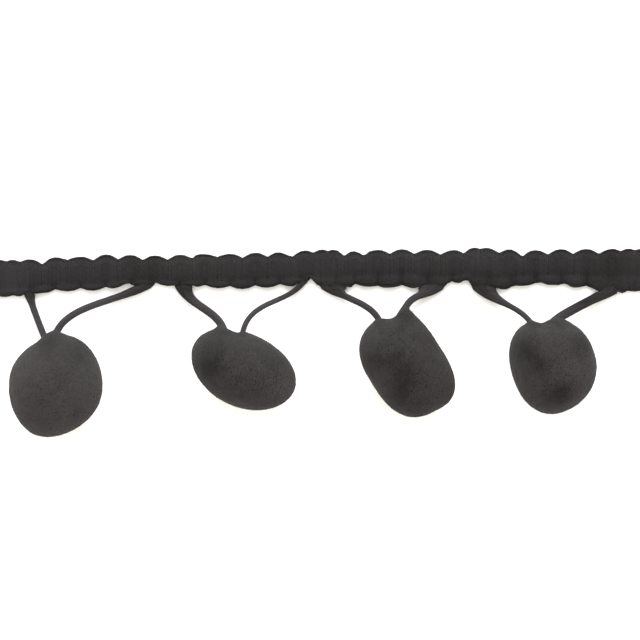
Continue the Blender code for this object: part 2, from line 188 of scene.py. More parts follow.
TURN_POWER = 4.5  # roundness of the arcs: 2 is an ellipse and more is squarer
ARC_TALLNESS = 1.6  # height over half width of an arc that takes a puff's whole depth
ARC_SAMPLES = 400  # points of an arc from which its even steps are found
PLY_REACH = (0.02, 0.985)  # how far in and out a ply may lie
PLY_WANDER = 0.022  # how far plies lie off their places, as a share of half a turn's width
PLY_UNEVENNESS, PLY_RUN = 0.08, 23.0  # how far a ply's thickness varies along it, and over what length
STACK_PLACE = 0.25  # how far up the row's side the stacked plies lie, as a share of the way to the groove
CUT_UNEVENNESS = 0.15  # how far plies are cut short at the two ends, in millimetres
# Painted shade in the lower row between its puffs, stronger towards the right.
GAP_SHADE = 0.6  # how much darker the plies are between two puffs of the lower row
GAP_SHADE_MIDDLE = 0.5  # the share of it at X = 0, from where it grows to the right
GAP_SHADE_RUN = 40.0  # over this length by the whole of it
GAP_SHADE_LIMITS = (0.2, 1.0)
BRAID_TONE = 0.5
BRAID_TONE_WAVE, BRAID_TONE_RUN = 0.3, 31.0  # how far the tone varies along a ply, and over what length
PLY_TONE = 0.08  # how far it varies from ply to ply

# The inner plies are one form, this far inside the outer ones, in millimetres. Its section starts at
# a foot, this far across the row and this high.
CORE_INSET = 0.12
CORE_STATIONS = 640
CORE_FOOT = (0.04, 0.1)
CORE_ACROSS = (0.0, 0.06, 0.18, 0.36, 0.58, 0.8, 0.92)
CORE_TONE = 0.35
CORE_LIGHTNESS = 0.85  # of its colour beside that of the outer plies

# The sides of a ply on the face and on the back, and the steps of its passes and of its arcs.
FACE_SIDES, FACE_STEPS = 5, (3, 8)
BACK_SIDES, BACK_STEPS = 4, (2, 6)

# Places where the braid is painted lighter or, where lighter is below 0, darker: painted light and painted
# shade.
Patch = namedtuple("Patch", "x y half_width lighter")
PAINTED_LIGHT_PATCHES = (
    Patch(-66.0, 8.5, 6.0, 0.45),
    Patch(-37.0, 10.7, 4.5, -0.5),
    Patch(18.0, 9.5, 5.0, 0.3),
    Patch(34.3, 13.9, 3.0, 0.5),
    Patch(35.0, 9.0, 2.5, -0.4),
    Patch(52.5, 9.3, 5.5, 0.45),
    Patch(50.5, 14.0, 5.0, -0.4),
    Patch(61.5, 13.5, 4.5, -0.7),
)

# Balls. turn is the direction of a ball's own X axis. Seen from above its outline is an ellipse where
# squareness is 2 and squarer where it is more, and taper widens it towards its own +X end. Where the hangers
# go in, the pile parts in a dimple, whose depth is a share of the ball.
Ball = namedtuple("Ball", "name x y half_x half_y half_z turn squareness taper dimple dimple_azimuth seed")
BALLS = (
    Ball("pom_1", -56.1, -14.05, 11.15, 9.95, 9.3, 66.5, 1.8, 0.024, 0.02, 101.0, 11),
    Ball("pom_2", -16.35, -10.6, 7.75, 11.65, 10.0, 64.7, 2.0, 0.063, 0.08, 98.0, 12),
    Ball("pom_3", 18.2, -9.55, 8.15, 11.55, 9.8, 32.6, 2.7, 0.072, 0.14, 106.0, 13),
    Ball("pom_4", 49.45, -9.4, 8.95, 10.1, 9.9, 18.0, 2.2, -0.113, 0.1, 107.0, 14),
)
FLAT_DEPTH = 0.5  # how far a ball's underside is flattened by the floor
DIMPLE_HALF_ANGLE = 13.0  # in degrees
DIMPLE_TALLNESS = 2.0  # how much taller than wide a dimple is
REACH_STEPS = 6  # repeats that settle the distance to a ball's outside
PILE_TONES = (0.52, 0.36, 0.33, 0.36)  # one for each ball
OWN_SHARE = 0.28  # of a pile fibre's shading direction, how much is its own and not its ball's
DISORDER = 0.9  # of the fibres' places, as a share of the space between them
FIBRE_LEAN = 0.003  # how far fibres lean, as a share of the ball
BUNCHING = 0.03  # how far fibres lean towards the middle of their own yarn end, as a share of the way there
END_LENGTHS, FIBRE_LENGTHS = 0.018, 0.02  # how far yarn ends and fibres differ in length, in millimetres
LENGTH_LIMITS = (-0.2, 0.15)
FIBRE_SIDES = 3
FIBRE_UNEVENNESS = 0.15  # how far fibres differ in width, as a share
ROOT_WIDTH = 0.8  # of a fibre, as a share of its width at the tip
ROOT_DEPTH = 2.0  # how far in the fibres' roots lie, in depths of the free pile
FLOOR_GAP = 0.02  # between the fibres' tips and the floor, in millimetres
ROOT_FLOOR_GAP = 0.5
PILE_CORE_FLOOR_GAP = 0.4
END_TONES, FIBRE_TONES = 0.035, 0.025  # how far yarn ends and fibres differ in tone
# Painted shade: a fibre is drawn darker at its root, deep in the pile, and where the pile parts.
ROOT_PAINTED_SHADE = 0.15  # how much darker a fibre is at its root
PARTING_DARKENING = 0.5  # how much darker one is where shade is 1
MOST_SHADE = 0.9  # the most that partings add up to
TOP_HEIGHT = 2.0  # partings are whole from this far above a ball's middle, and there are none below it
PILE_CORE_DIVISIONS = 4
# The core's tone, and the painted shade that the partings put on it.
PILE_CORE_TONE, PILE_CORE_DARKENING = 0.46, 0.4

# Places on top of the balls where the pile parts, as deep as depth, with painted shade in it. Where depth is
# 0 it is only painted darker, as painted shade, or, where shade is below 0, lighter, as painted light.
Parting = namedtuple("Parting", "ball x y half_width depth shade")
PARTINGS = (
    Parting(0, -55.0, -12.1, 2.0, 0.2, 0.1),
    Parting(0, -58.7, -15.9, 2.8, 0.15, 0.25),
    Parting(0, -51.2, -20.5, 1.8, 0.2, 0.35),
    Parting(0, -49.9, -5.9, 3.4, 0.0, 0.6),
    Parting(0, -57.6, -4.6, 3.2, 0.0, 0.5),
    Parting(1, -23.3, -10.6, 2.6, 0.4, 0.75),
    Parting(1, -22.4, -7.2, 3.0, 0.25, 0.45),
    Parting(1, -16.5, -13.4, 3.0, 0.1, 0.1),
    Parting(1, -7.0, -14.6, 3.4, 0.0, -0.55),
    Parting(2, 16.0, -7.9, 1.9, 0.35, 0.5),
    Parting(2, 17.5, -12.0, 2.6, 0.4, 0.7),
    Parting(2, 12.3, -8.8, 2.6, 0.25, 0.45),
    Parting(2, 16.4, -16.0, 2.4, 0.3, 0.45),
    Parting(2, 20.5, -19.4, 2.2, 0.2, 0.55),
    Parting(2, 24.0, -4.4, 2.6, 0.0, 0.4),
    Parting(2, 18.0, 0.6, 2.8, 0.0, 0.45),
    Parting(2, 25.6, -12.0, 3.0, 0.0, -0.3),
    Parting(3, 42.6, -6.4, 2.6, 0.35, 0.7),
    Parting(3, 45.2, -9.4, 2.3, 0.3, 0.5),
    Parting(3, 50.6, -15.4, 2.2, 0.4, 0.75),
    Parting(3, 48.0, -16.6, 2.2, 0.15, 0.3),
    Parting(3, 55.8, -4.4, 3.0, 0.0, 0.75),
    Parting(3, 52.6, -10.2, 3.4, 0.0, -0.25),
)

# Hangers. The route goes from the root at the heading's lower edge past two pull points to the ball, which
# it meets at this azimuth seen from the ball's middle. Over a share of the route called flare, the wide root
# narrows to the waist.
Hanger = namedtuple(
    "Hanger",
    "name ball root_x root_y pull_a_x pull_a_y pull_b_x pull_b_y azimuth root_width waist ball_width flare",
)
HANGERS = (
    Hanger("hanger_1_left", 0, -62.4, 5.2, -61.7, 2.7, -60.4, -0.3, 104.2, 2.4, 1.4, 1.3, 0.35),
    Hanger("hanger_1_right", 0, -38.3, 7.0, -46.0, 3.3, -55.8, 2.8, 94.8, 4.2, 1.5, 1.6, 0.23),
    Hanger("hanger_2_left", 1, -29.3, 7.0, -28.2, 3.0, -21.7, 2.1, 117.0, 3.9, 1.75, 1.65, 0.45),
    Hanger("hanger_2_right", 1, -4.1, 7.6, -7.6, 3.4, -15.2, 4.1, 91.0, 1.8, 1.15, 1.15, 0.45),
    Hanger("hanger_3_left", 2, 3.0, 6.8, 5.7, 4.0, 11.2, 3.9, 121.0, 5.8, 1.4, 1.4, 0.27),
    Hanger("hanger_3_right", 2, 23.75, 6.7, 22.1, 5.0, 18.1, 5.2, 91.5, 5.7, 1.5, 3.6, 0.45),
    Hanger("hanger_4_left", 3, 35.4, 6.6, 37.3, 3.8, 43.0, 3.0, 116.5, 5.2, 1.2, 1.2, 0.6),
    Hanger("hanger_4_right", 3, 61.8, 5.85, 57.3, 4.1, 53.6, 1.9, 89.0, 4.4, 2.0, 1.3, 0.3),
)
# How far the pile is drawn up a hanger where it goes in, how far round it, and the tone that the hanger is
# painted at its root, along its middle and at its ball. The dark root is painted shade, where it comes out
# from under the heading.
Look = namedtuple("Look", "peak_height peak_reach root_tone middle_tone ball_tone")
LOOKS = {
    "hanger_1_left": Look(0.6, 0.9, 0.05, 0.62, 0.85),
    "hanger_1_right": Look(1.5, 2.2, 0.2, 1.05, 0.95),
    "hanger_2_left": Look(1.0, 1.3, 0.0, 0.66, 0.8),
    "hanger_2_right": Look(0.4, 1.0, 0.17, 1.0, 1.0),
    "hanger_3_left": Look(0.3, 1.2, 0.12, 0.7, 0.7),
    "hanger_3_right": Look(1.2, 1.8, 0.26, 0.6, 0.78),
    "hanger_4_left": Look(0.8, 1.2, 0.05, 0.54, 0.9),
    "hanger_4_right": Look(0.5, 2.2, 0.15, 0.2, 0.9),
}
TONE_PLACES = (0.05, 0.4, 0.85)  # shares of the route at which a hanger has those three tones
TONE_WAVE, TONE_RUN = 0.15, 12.0  # how far the tone varies along a ply, and over what length
YARN_TONE = 0.1  # how far it varies from ply to ply
PEAK_TALL = 4.5  # how far up and down a ball the pile is drawn to its hanger
PEAK_CLOSING = 0.3  # how far that pile closes round the hanger
PEAK_FROM = 0.9  # the share of the hanger's route from which the pile's pull is taken
HANGER_THICKNESS = 1.3  # from floor side to camera side
HANGER_ROOT_LEVEL = 1.0  # height of a root's middle
HANGER_MEETS_BELOW = 26.0  # degrees below the ball's middle at which a hanger meets it
PULL_RISES = (0.2, 0.6)  # how much of the way from the root's level to the ball's each pull point has made
CLOSE_REACH = 0.25  # share of the route over which a hanger comes to its width at the ball
PAD_SLOPE = 0.8  # beside a root, how far along X the heading's edge comes back to its own line
JOINT_GAP = 0.35  # between the solids of the heading and a hanger's root
BALL_GAP = 0.45  # between the solids of a hanger and its ball
ROUTE_STEP = 0.01  # share of the route over which its direction is taken
ROUTE_POINTS = 28
TWIST = 0.6 * math.pi  # how far the plies wind round each other along a hanger
PLY_START = 0.25  # where round the bundle the first ply lies, as a share of the space between two
PLY_OVERLAP = 1.3  # how much wider plies are than the space that each has round the bundle
PLY_RADII = (0.12, 0.36)  # the finest and the coarsest, in millimetres
WIDE_INSET, THICK_INSET = 0.9, 0.7  # how far inside the bundle's outline plies run, in their own radii
INNER_PLIES, INNER_SPREAD = 3, 0.7  # the plies inside the bundle, and how much of its width they take
YARN_SIDES = 5
YARN_UNEVENNESS, YARN_RUN = 0.1, 9.0  # how far a ply's thickness varies along it, and over what length

# Past the end of its route a hanger bends into the ball.
END_POINTS = 5
END_LENGTH = 2.4  # in millimetres
END_TAPER = 0.4  # how much narrower it gets there, as a share

# Before the start of its route, a hanger's plies cover the lower row from the groove to the root.
COVER_SLOPE = 0.7  # beside a root, how far the hanger's plies still press on the lower row
COVERED_DROP = 0.1  # how much flatter the row is under them
COVER_STEPS = 7
COVER_LEAN = 1.5  # the most that the plies lean along X on their way, in millimetres
COVER_AHEAD = 0.02  # share of the route that sets the way that they lean
COVER_RISE = 0.2  # how high over the row's surface they run at the root
COVER_SINK = 0.8  # how much lower than that they run at the groove
COVER_SETTLE = 0.2  # share of the way over which they come down from the root's own level

# The map that finishes are painted on lays strands side by side, in runs of so many segments. Beside each run
# is a column for its end faces, at these places and of this size.
WEFT_MAP_RUN, CORE_MAP_RUN, YARN_MAP_RUN, PILE_MAP_RUN = 16, 40, 20, 1
RUN_MARGIN = (2.0, 0.5)
CAP_COLUMN, CAP_HEIGHTS, CAP_SIZE = 0.9, (0.25, 0.72), (0.7, 0.22)

# Floor, light and camera, in metres. The daylight is a little warm and the window a little cool, so that the
# floor comes out neutral.
FLOOR_HALF, FLOOR_SQUARES = 3.0, 8
DAYLIGHT_COLOUR = (1.0, 0.97, 0.91, 1.0)
WINDOW_COLOUR = (0.93, 0.935, 1.0)
WINDOW_SIZE, WINDOW_POWER = 0.5, 4.5
WINDOW_BACK, WINDOW_HEIGHT = 0.45, 0.4
CAMERA_HEIGHT = 0.5742
NEAREST = 0.01  # what is closer to the camera isn't drawn
LENS, SENSOR_WIDTH = 150.0, 36.0  # in millimetres


# Places and forms


def placed(points):
    """Points in the tables' millimetres as metres in the row's frame."""
    return (np.asarray(points) - (0.0, MIDDLE_Y, 0.0)) * MM


def eased(share):
    """A share from 0 to 1 that starts and ends slowly."""
    return share * share * (3.0 - 2.0 * share)


def upper_puffs():
    """The X of every turn of the weft along the upper edge."""
    places = []
    for stretch in STRETCHES:
        share = np.linspace(0.0, 1.0, stretch.puffs)
        share = share * (1.0 - stretch.growth * (1.0 - share))
        places.extend(stretch.first_puff + (stretch.last_puff - stretch.first_puff) * share)
        places.extend(stretch.small_puffs)
    return np.array(places)


PUFFS = upper_puffs()
LOWER_PUFFS = (PUFFS[:-1] + PUFFS[1:]) / 2.0
PUFF_CHANCE = np.random.default_rng(PUFF_SEED).uniform(-1.0, 1.0, (2, len(PUFFS)))


def crest(column, x):
    """A line of the heading at x, eased between the table's stations."""
    stations = np.array([station.x for station in HEADING_LINE])
    values = np.array([getattr(station, column) for station in HEADING_LINE])
    i = np.clip(np.searchsorted(stations, x) - 1, 0, len(stations) - 2)
    share = np.clip((x - stations[i]) / (stations[i + 1] - stations[i]), 0.0, 1.0)
    return values[i] + (values[i + 1] - values[i]) * ((1.0 - EASE) * share + EASE * eased(share))


def puff_lift(x, puffs):
    """The puff that each x is on, and 1 on its crest, less in the notches beside it and 0 in wide ones."""
    notches = (puffs[:-1] + puffs[1:]) / 2.0
    sides = np.concatenate(([2.0 * puffs[0] - notches[0]], notches, [2.0 * puffs[-1] - notches[-1]]))
    which = np.searchsorted(notches, x)
    half = np.abs(np.where(x < puffs[which], sides[which], sides[which + 1]) - puffs[which])
    away = np.clip(np.abs(x - puffs[which]) / half, 0.0, 1.0)
    return which, 1.0 - (away * np.minimum(half / FULL_PUFF, 1.0)) ** 2


def notched(x, notches):
    """How far single notches draw an edge in at x."""
    return sum(n.depth * np.exp(-(((x - n.x) / n.half_width) ** 2)) for n in notches)


def root_share(x, hanger, slope=PAD_SLOPE):
    """1 where a hanger's root meets the heading's lower edge and 0 away from it."""
    outside = np.abs(x - hanger.root_x) - hanger.root_width / 2.0
    return np.clip(1.0 - outside / slope, 0.0, 1.0)


HeadingForm = namedtuple("HeadingForm", "top bottom groove groove_height rows")
RowForm = namedtuple("RowForm", "crown lift relief")


def heading_form(x, thickness):
    """The heading's edges, its groove and the form of its lower and upper rows at x."""
    upper, upper_lift = puff_lift(x, PUFFS)
    lower, lower_lift = puff_lift(x, LOWER_PUFFS)
    top = crest("upper_y", x)
    bottom = crest("lower_y", x)
    groove = bottom + (top - bottom) * crest("groove_share", x)
    top = top - UPPER_TURN_DEPTH * (1.0 - upper_lift)
    top = top + EDGE_UNEVENNESS * PUFF_CHANCE[0][upper] * upper_lift
    bottom = bottom + LOWER_TURN_DEPTH * (1.0 - lower_lift)
    bottom = bottom + EDGE_UNEVENNESS * PUFF_CHANCE[1][lower] * lower_lift
    top = top - notched(x, UPPER_NOTCHES)
    bottom = bottom + notched(x, LOWER_NOTCHES)
    covered = 0.0
    for hanger in HANGERS:
        bottom = bottom + (hanger.root_y + JOINT_GAP - bottom) * root_share(x, hanger)
        covered = np.maximum(covered, root_share(x, hanger, COVER_SLOPE))
    uneven = 1.0 + CROWN_UNEVENNESS * PUFF_CHANCE[1][upper] * upper_lift
    lower_crown = thickness * LOWER_CROWN * (1.0 - COVERED_DROP * covered)
    lower_row = RowForm(lower_crown, lower_lift, np.ones(len(ROW_ACROSS)))
    upper_row = RowForm(thickness * uneven, upper_lift, UPPER_RELIEF)
    return HeadingForm(top, bottom, groove, GROOVE_LEVEL * thickness, (lower_row, upper_row))


def row_height(across, row, groove_height):
    """The height of a row's surface, across it from the outer edge to the groove."""
    relief = PUFF_RELIEF * np.interp(across, ROW_ACROSS, row.relief) * (1.0 - row.lift)
    height = np.interp(across, ROW_ACROSS, ROW_HEIGHT) * row.crown * (1.0 - relief)
    inner = eased(np.clip((across - ROW_ACROSS[-1]) / (1.0 - ROW_ACROSS[-1]), 0.0, 1.0))
    return height * (1.0 - inner) + groove_height * inner


def ball_middle(ball):
    """The middle of a ball, in the tables' millimetres."""
    return np.array((ball.x, ball.y, ball.half_z - FLAT_DEPTH))


def turned(points, degrees):
    """Points turned about Z."""
    angle = math.radians(degrees)
    c, s = math.cos(angle), math.sin(angle)
    return points @ np.array(((c, s, 0.0), (-s, c, 0.0), (0.0, 0.0, 1.0)))


def level_way(degrees):
    """The unit vector at this angle from X."""
    angle = math.radians(degrees)
    return np.array((math.cos(angle), math.sin(angle), 0.0))


def ball_reach(ball, way):
    """How far a ball's outside is from its middle, along unit vectors in the ball's own axes."""
    reach = np.full(way.shape[:-1], ball.half_y)
    for _ in range(REACH_STEPS):
        x = way[..., 0] * reach / ball.half_x
        y = way[..., 1] * reach / (ball.half_y * (1.0 + ball.taper * x))
        z = way[..., 2] * reach / ball.half_z
        flat = np.abs(x) ** ball.squareness + np.abs(y) ** ball.squareness
        reach = reach / np.sqrt(flat ** (2.0 / ball.squareness) + z * z)
    towards = unit(way / (1.0, 1.0, DIMPLE_TALLNESS)) @ level_way(ball.dimple_azimuth - ball.turn)
    away = np.degrees(np.arccos(np.clip(towards, -1.0, 1.0)))
    return reach * (1.0 - ball.dimple * np.exp(-((away / DIMPLE_HALF_ANGLE) ** 2)))


def on_ball(ball, way, reach):
    """Points this far from a ball's middle, along unit vectors in its own axes."""
    return turned(way * reach[:, None], ball.turn) + ball_middle(ball)


def above_floor(ball, way, reach, gap):
    """Reaches cut short so that points of a ball stay this far above the floor."""
    return np.minimum(reach, (ball_middle(ball)[2] - gap) / np.maximum(-way[:, 2], TINY))


def hanger_end(hanger):
    """The point where a hanger's route ends, just outside its ball."""
    ball = BALLS[hanger.ball]
    below = -math.radians(HANGER_MEETS_BELOW)
    way = level_way(hanger.azimuth) * math.cos(below) + (0.0, 0.0, math.sin(below))
    return ball_middle(ball) + way * (ball_reach(ball, turned(way, -ball.turn)) + BALL_GAP)


def hanger_route(hanger, share):
    """Points of a hanger's route: a cubic curve from the root past two pull points to the ball."""
    root = np.array((hanger.root_x, hanger.root_y, HANGER_ROOT_LEVEL))
    end = hanger_end(hanger)
    rise = end[2] - root[2]
    pull_a = np.array((hanger.pull_a_x, hanger.pull_a_y, root[2] + rise * PULL_RISES[0]))
    pull_b = np.array((hanger.pull_b_x, hanger.pull_b_y, root[2] + rise * PULL_RISES[1]))
    share = np.asarray(share)[..., None]
    rest = 1.0 - share
    first_half = root * rest**3 + pull_a * 3.0 * rest**2 * share
    return first_half + pull_b * 3.0 * rest * share**2 + end * share**3


def hanger_width(hanger, share):
    """The width of a hanger at these shares of its route."""
    root = np.maximum(1.0 - share / hanger.flare, 0.0) ** 2
    close = np.maximum((share - 1.0 + CLOSE_REACH) / CLOSE_REACH, 0.0) ** 2
    with_root = hanger.waist + (hanger.root_width - hanger.waist) * root
    return with_root + (hanger.ball_width - hanger.waist) * close


# Meshes from arrays


def unit(vectors):
    """Vectors of length 1."""
    return vectors / np.maximum(np.linalg.norm(vectors, axis=-1, keepdims=True), SHORTEST)


def tube_rings(paths, radii, sides, up):
    """Rings of points round paths of shape strands x points x 3."""
    along = unit(np.gradient(paths, axis=1))
    across = unit(np.cross(along, np.broadcast_to(up, along.shape)))
    over = np.cross(along, across)
    angle = 2.0 * math.pi * (np.arange(sides) + 0.5) / sides
    offset = across[:, :, None] * np.cos(angle)[:, None] + over[:, :, None] * np.sin(angle)[:, None]
    return paths[:, :, None] + offset * radii[:, :, None, None]


def patch_places(strands, segments, sides, run):
    """Where each face lies on the map that finishes are painted on: strands side by side, in runs of this
    many segments, with a column after each run for the end faces."""
    runs = -(-segments // run)
    islands = strands * runs
    wide, high = run + RUN_MARGIN[0], sides + RUN_MARGIN[1]
    columns = max(round(math.sqrt(islands * high / wide)), 1)
    rows = -(-islands // columns)
    strand, segment, side = np.indices((strands, segments, sides))
    island = strand * runs + segment // run
    left = (island % columns) * wide + segment % run
    low = (island // columns) * high + side
    corners = np.array(((0, 0), (0, 1), (1, 1), (1, 0)), float)
    quads = np.stack((left, low), -1)[..., None, :] + corners
    angle = 2.0 * math.pi * np.arange(sides) / sides
    disc = np.stack((np.cos(angle), np.sin(angle)), -1)
    last = np.arange(strands) * runs + runs - 1
    caps = []
    for rim, height in zip((disc[::-1], disc), CAP_HEIGHTS):
        left = (last % columns) * wide + run + CAP_COLUMN
        low = (last // columns) * high + sides * height
        caps.append(np.stack((left, low), -1)[:, None] + rim * (CAP_SIZE[0], CAP_SIZE[1] * sides))
    scale = np.array((columns * wide, rows * high))
    return (quads / scale).reshape(-1, 2), (np.stack(caps, 1) / scale).reshape(-1, 2)


def strands_piece(name, rings, tone, along, run, finish, node=None, outward=None):
    """One piece of many closed strands. rings is strands x points x sides x 3, in millimetres. tone and along
    are strands x points, and the finish reads them as attributes. outward, if given, is the way that each
    strand's surroundings face, and the strand's shading takes most of its direction from there."""
    strands, points, sides, _ = rings.shape
    index = np.arange(strands * points * sides).reshape(strands, points, sides)
    beside = np.roll(index, -1, axis=2)
    quads = np.stack((index[:, :-1], beside[:, :-1], beside[:, 1:], index[:, 1:]), -1).reshape(-1)
    caps = np.stack((index[:, 0, ::-1], index[:, -1]), 1).reshape(-1)
    corners = np.concatenate((quads, caps))
    totals = np.concatenate((np.full(len(quads) // 4, 4), np.full(len(caps) // sides, sides)))
    mesh = bpy.data.meshes.new(name)
    mesh.vertices.add(rings.size // 3)
    mesh.vertices.foreach_set("co", placed(rings.reshape(-1, 3)).astype(np.float32).ravel())
    mesh.loops.add(len(corners))
    mesh.loops.foreach_set("vertex_index", corners.astype(np.int32))
    mesh.polygons.add(len(totals))
    mesh.polygons.foreach_set("loop_start", (np.cumsum(totals) - totals).astype(np.int32))
    mesh.update(calc_edges=True)
    around = np.broadcast_to(np.arange(sides) / sides, index.shape)
    around = np.stack((around[:, :-1], around[:, :-1] + 1.0 / sides), -1)[..., [0, 1, 1, 0]].reshape(-1)
    around = np.concatenate((around, np.zeros(len(caps))))
    length = np.broadcast_to(along[:, :, None], index.shape).reshape(-1)[corners]
    lay = np.stack((length, around, np.zeros(len(corners))), -1)
    lays = mesh.attributes.new("lay", "FLOAT_VECTOR", "CORNER")
    lays.data.foreach_set("vector", lay.astype(np.float32).ravel())
    set_tone(mesh, np.broadcast_to(tone[:, :, None], index.shape).reshape(-1))
    places = np.concatenate(patch_places(strands, points - 1, sides, run))
    mesh.uv_layers.new(name="OFBake").uv.foreach_set("vector", places.astype(np.float32).ravel())
    if mesh.validate():
        raise RuntimeError(f"{name}: faces that aren't whole")
    mesh.shade_smooth()
    if outward is not None:
        mesh.normals_split_custom_set(soft_normals(rings, outward, quads))
    return add_piece(name, mesh, finish, node)


def set_tone(mesh, tones):
    """Gives every vertex the tone that the finishes read."""
    mesh.attributes.new("tone", "FLOAT", "POINT").data.foreach_set("value", tones.astype(np.float32))


def soft_normals(rings, outward, quads):
    """Normals for every corner that lean from the strand's own side towards the way outward."""
    own = unit(rings - rings.mean(axis=2, keepdims=True))
    soft = unit(own * OWN_SHARE + outward[:, None, None] * (1.0 - OWN_SHARE)).reshape(-1, 3)
    ends = np.repeat(outward[:, None, None], 2, axis=1) * np.array((-1.0, 1.0))[:, None, None]
    ends = np.broadcast_to(ends, (len(rings), 2, rings.shape[2], 3)).reshape(-1, 3)
    return np.concatenate((soft[quads], ends)).astype(np.float32)


def add_piece(name, mesh, finish, node=None):
    """Puts a mesh into the scene as a piece of the trim."""
    mesh.materials.clear()
    mesh.materials.append(finish)
    piece = bpy.data.objects.new(name, mesh)
    bpy.context.scene.collection.objects.link(piece)
    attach(piece, "root")
    if node:
        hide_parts(node)
    return piece


def arc_lengths(paths):
    """How far along its path each point is."""
    steps = np.linalg.norm(np.diff(paths, axis=1), axis=-1)
    return np.concatenate((np.zeros((len(paths), 1)), np.cumsum(steps, axis=1)), axis=1)


def slow_wave(chance, strands, along, length):
    """A smooth random value between about -1 and 1 for each strand, that changes over this length."""
    wave = 0.0
    for part in WAVE_PARTS:
        phase = chance.uniform(0.0, 2.0 * math.pi, (strands, 1))
        wave = wave + np.sin(2.0 * math.pi * along * part / length + phase) / part
    return wave / 2.0


# Finishes


class Paint:
    """A shader socket that takes part in Python sums."""

    def __init__(self, finish, socket):
        self.finish = finish
        self.socket = socket

    def _sum(self, operation, *values):
        """What this operation makes of the values."""
        return self.finish.node("ShaderNodeMath", {"operation": operation}, values)

    def __add__(self, other):
        return self._sum("ADD", self, other)

    def __sub__(self, other):
        return self._sum("SUBTRACT", self, other)

    def __mul__(self, other):
        return self._sum("MULTIPLY", self, other)

    def __truediv__(self, other):
        return self._sum("DIVIDE", self, other)

    def __rsub__(self, other):
        return self._sum("SUBTRACT", other, self)

    def __rtruediv__(self, other):
        return self._sum("DIVIDE", other, self)

    __radd__ = __add__
    __rmul__ = __mul__

    def sine(self):
        """The sine of the value."""
        return self._sum("SINE", self)

    def clamped(self):
        """The value kept between 0 and 1."""
        return self.finish.node("ShaderNodeClamp", {}, {"Value": self})


class Finish:
    """A material and the nodes that make it."""

    def __init__(self, name):
        self.material = bpy.data.materials.new(name)
        self.material.use_nodes = True
        self.tree = self.material.node_tree
        self.shader = self.tree.nodes["Principled BSDF"]

    def node(self, kind, settings, values, output=0):
        """Adds a node, with its settings made first, and returns one output."""
        node = self.tree.nodes.new(kind)
        for key, value in settings.items():
            setattr(node, key, value)
        pairs = values.items() if isinstance(values, dict) else enumerate(values)
        for key, value in pairs:
            self.give(node.inputs[key], value)
        return Paint(self, node.outputs[output])

    def give(self, socket, value):
        """Links or sets a socket."""
        if isinstance(value, Paint):
            self.tree.links.new(value.socket, socket)
        else:
            socket.default_value = value

    def blend(self, share, first, second):
        """A colour between two colours."""
        settings = {"data_type": "RGBA"}
        return self.node("ShaderNodeMix", settings, {0: share, 6: first, 7: second}, output=2)

    def noise(self, where, scale, detail=3.0, roughness=0.55):
        """Noise of this scale, a value from 0 to 1."""
        values = {"Vector": where, "Scale": scale, "Detail": detail, "Roughness": roughness}
        return self.node("ShaderNodeTexNoise", {}, values)

    def place(self):
        """Where on the object a point of the surface is, in metres."""
        return self.node("ShaderNodeTexCoord", {}, {}, output="Object")

    def bump(self, strength, distance, height):
        """A normal that follows this height, with its distance in millimetres."""
        values = {"Strength": strength, "Distance": distance * MM, "Height": height}
        return self.node("ShaderNodeBump", {}, values)

    def attribute(self, name, output):
        """A value that the mesh carries."""
        return self.node("ShaderNodeAttribute", {"attribute_name": name}, {}, output)

    def set_shader(self, values):
        """Sets or links the shader's own sockets."""
        for key, value in values.items():
            self.give(self.shader.inputs[key], value)


def colour(base, factor=1.0, tint=(1.0, 1.0, 1.0)):
    """A colour tinted and made lighter or darker, with its alpha."""
    return (*(min(c * t * factor, 1.0) for c, t in zip(base, tint)), 1.0)


def yarn_finish(name, base, darkest, twist_pitch, twist_depth, contrast, sheen):
    """Matt spun yarn: dyed unevenly, twisted and slightly hairy. The twist's sizes are in millimetres, and
    contrast is how much of the range from dark to light the mesh's tone takes up."""
    finish = Finish(name)
    place = finish.place()
    lay = finish.attribute("lay", "Vector")
    tone = finish.attribute("tone", "Fac")
    broad = finish.noise(place, scale=90.0, detail=2.0)
    fine = finish.noise(place, scale=2600.0, detail=4.0, roughness=0.65)
    parts = finish.node("ShaderNodeSeparateXYZ", {}, {"Vector": lay})
    around = Paint(finish, parts.socket.node.outputs["Y"])
    twist = ((parts / twist_pitch + around * 2.0) * (2.0 * math.pi)).sine()
    # From 0, dark, to 1, light: the mesh's tone, with any painted shade it carries, cloudy dye, single fibres
    # and the twist's painted shadow.
    shade = tone * contrast + broad * 0.35 + fine * 0.2 + twist * 0.05 + (0.22 - contrast / 2.0)
    dark = finish.blend(broad, colour(base, darkest), colour(base, darkest * 1.1, tint=(1.06, 1.0, 0.9)))
    light = finish.blend(broad, colour(base, 1.6, tint=(0.97, 0.97, 1.08)), colour(base, 1.5))
    bump = finish.bump(strength=0.55, distance=twist_depth, height=twist * 0.6 + fine * 1.4)
    finish.set_shader({
        "Base Color": finish.blend(shade.clamped(), dark, light),
        "Roughness": 0.78 + fine * 0.2,
        "Specular IOR Level": 0.06,
        "Sheen Weight": sheen,
        "Sheen Roughness": 0.5,
        "Normal": bump,
    })
    return finish.material


def pile_finish(name, base):
    """Cut pile: soft fibre ends, with painted shade towards their roots and where the pile parts."""
    finish = Finish(name)
    place = finish.place()
    tone = finish.attribute("tone", "Fac")
    broad = finish.noise(place, scale=120.0)
    fine = finish.noise(place, scale=1800.0)
    # From 0, dark, to 1, light: the mesh's tone, with its painted shade at roots and partings, cloudy dye and
    # single fibre ends.
    shade = tone * 0.9 + broad * 0.24 + fine * 0.08 - 0.16
    dark = finish.blend(broad, colour(base, 0.3, tint=(1.05, 1.0, 0.9)), colour(base, 0.3))
    light = finish.blend(broad, colour(base, 1.45, tint=(1.0, 0.98, 1.06)), colour(base, 1.35))
    bump = finish.bump(strength=0.4, distance=0.05, height=fine)
    finish.set_shader({
        "Base Color": finish.blend(shade.clamped(), dark, light),
        "Roughness": 0.82 + fine * 0.15,
        "Specular IOR Level": 0.05,
        "Sheen Weight": 0.06,
        "Sheen Roughness": 0.6,
        "Normal": bump,
    })
    return finish.material


